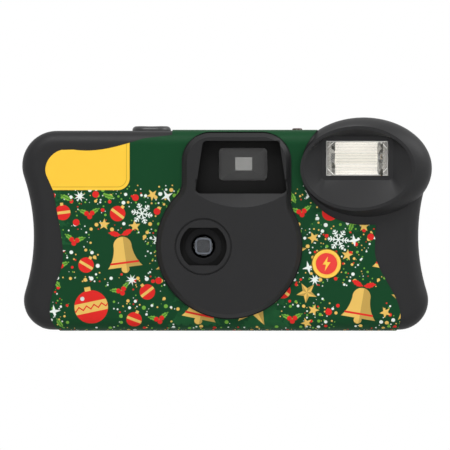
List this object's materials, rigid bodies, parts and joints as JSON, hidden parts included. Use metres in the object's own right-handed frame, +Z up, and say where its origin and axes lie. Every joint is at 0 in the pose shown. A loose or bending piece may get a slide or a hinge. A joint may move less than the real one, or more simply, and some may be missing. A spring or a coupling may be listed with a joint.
{
  "type": "disposable film camera",
  "caption": "Flat single-use film camera with a round lens surround, a viewfinder, a domed flash, a thumbwheel, a shutter button and doors in the underside.",
  "frame": {"origin": "under the middle of the camera, on the surface that it stands on", "axes": "+X to the right as the front is seen, +Y from the lens side to the back, +Z up"},
  "size_m": [0.1181, 0.0378, 0.0614],
  "materials": {
    "charcoal": "fine matte grain",
    "printed_card": "satin print",
    "red_button": "gloss",
    "black_plastic": "matte",
    "clear_plastic": "clear and polished",
    "lamp": "translucent orange",
    "tube_glass": "clear",
    "reflector_metal": "bright sheet",
    "nickel_sheet": "plated spring sheet",
    "cassette_paint": "gloss lacquer",
    "cap_steel": "satin lacquer",
    "felt": "short pile",
    "film": "brown grey film",
    "white_plastic": "satin",
    "battery_jacket": "satin wrap",
    "board": "resin board",
    "capacitor_jacket": "shrunk jacket",
    "transformer_core": "dark ferrite and tape",
    "coil_wire": "enamelled copper wire"
  },
  "bodies": {
    "camera_body": {"front_cover": "charcoal", "rear_cover": "charcoal", "printed_sleeve": "printed_card", "flash_window": "clear_plastic", "flash_reflector": "reflector_metal", "flash_tube": "tube_glass", "flash_contact": "nickel_sheet", "ready_lamp": "lamp", "taking_lens": "clear_plastic", "lens_ring": "black_plastic", "aperture_plate": "black_plastic", "finder_front_lens": "clear_plastic", "finder_eyepiece": "clear_plastic", "counter_window": "clear_plastic", "cassette_shell": "cassette_paint", "cassette_caps": "cap_steel", "light_trap_felt": "felt", "film_strip": "film", "main_frame": "black_plastic", "mechanism_keeper": "black_plastic", "striker_spring": "nickel_sheet", "ratchet_pawl": "black_plastic", "battery": "battery_jacket", "battery_contacts": "nickel_sheet", "circuit_board": "board", "flash_capacitor": "capacitor_jacket", "transformer": "transformer_core", "trigger_coil": "coil_wire"},
    "shutter_button": {"shutter_button": "charcoal"},
    "flash_button": {"flash_button": "red_button"},
    "winding": {"thumbwheel": "black_plastic", "cassette_spool": "black_plastic", "exposed_film": "film"},
    "sprocket": {"sprocket": "white_plastic"},
    "film_supply": {"film_roll": "film", "film_spool": "black_plastic"},
    "counter_dial": {"counter_dial": "white_plastic"},
    "striker_lever": {"striker_lever": "black_plastic"},
    "shutter_blade": {"shutter_blade": "nickel_sheet"},
    "metering_lever": {"metering_lever": "black_plastic"},
    "film_door": {"film_door": "charcoal"},
    "battery_door": {"battery_door": "charcoal"}
  },
  "joints": [
    {"name": "shutter_button_press", "type": "slide", "parent": "camera_body", "child": "shutter_button", "axis": [0, 0, -1], "range_m": [0, 0.0012], "stiffness_N_per_m": 300, "springref_m": -0.001},
    {"name": "flash_button_press", "type": "slide", "parent": "camera_body", "child": "flash_button", "axis": [0, 1, 0], "range_m": [0, 0.0008], "stiffness_N_per_m": 300, "springref_m": -0.001},
    {"name": "winding_turn", "type": "hinge", "parent": "camera_body", "child": "winding", "pos_m": [-0.0399, 0.003, 0.048], "axis": [0, 0, 1], "continuous": true},
    {"name": "sprocket_turn", "type": "hinge", "parent": "camera_body", "child": "sprocket", "pos_m": [-0.0209, 0.00773, 0.04], "axis": [0, 0, 1], "continuous": true},
    {"name": "film_supply_turn", "type": "hinge", "parent": "camera_body", "child": "film_supply", "pos_m": [0.027, 0.00533, 0.0245], "axis": [0, 0, 1], "continuous": true},
    {"name": "counter_turn", "type": "hinge", "parent": "camera_body", "child": "counter_dial", "pos_m": [-0.0129, 0.0012, 0.052], "axis": [0, 0, 1], "continuous": true},
    {"name": "striker_swing", "type": "hinge", "parent": "camera_body", "child": "striker_lever", "pos_m": [-0.0155, -0.0038, 0.045], "axis": [0, 0, 1], "range_deg": [0, 25], "stiffness_Nm_per_rad": 0.002, "springref_deg": -11.46},
    {"name": "shutter_blade_swing", "type": "hinge", "parent": "camera_body", "child": "shutter_blade", "pos_m": [-0.014, -0.0118, 0.033], "axis": [0, 1, 0], "range_deg": [0, 30]},
    {"name": "metering_swing", "type": "hinge", "parent": "camera_body", "child": "metering_lever", "pos_m": [-0.0138, 0.0093, 0.045], "axis": [0, 0, 1], "range_deg": [0, 10], "stiffness_Nm_per_rad": 0.001, "springref_deg": -11.46},
    {"name": "film_door_hinge", "type": "hinge", "parent": "camera_body", "child": "film_door", "pos_m": [-0.0259, 0.003, 0.0013], "axis": [0, -1, 0], "range_deg": [0, 95]},
    {"name": "battery_door_hinge", "type": "hinge", "parent": "camera_body", "child": "battery_door", "pos_m": [0.0382, 0.008, 0.0013], "axis": [0, 1, 0], "range_deg": [0, 95]}
  ],
  "couplings": [
    {"joint": "sprocket_turn", "follows": "winding_turn", "ratio": 1.0909},
    {"joint": "film_supply_turn", "follows": "winding_turn", "ratio": 0.7174},
    {"joint": "counter_turn", "follows": "winding_turn", "ratio": -0.03636},
    {"joint": "shutter_blade_swing", "follows": "striker_swing", "ratio": 1.2}
  ]
}
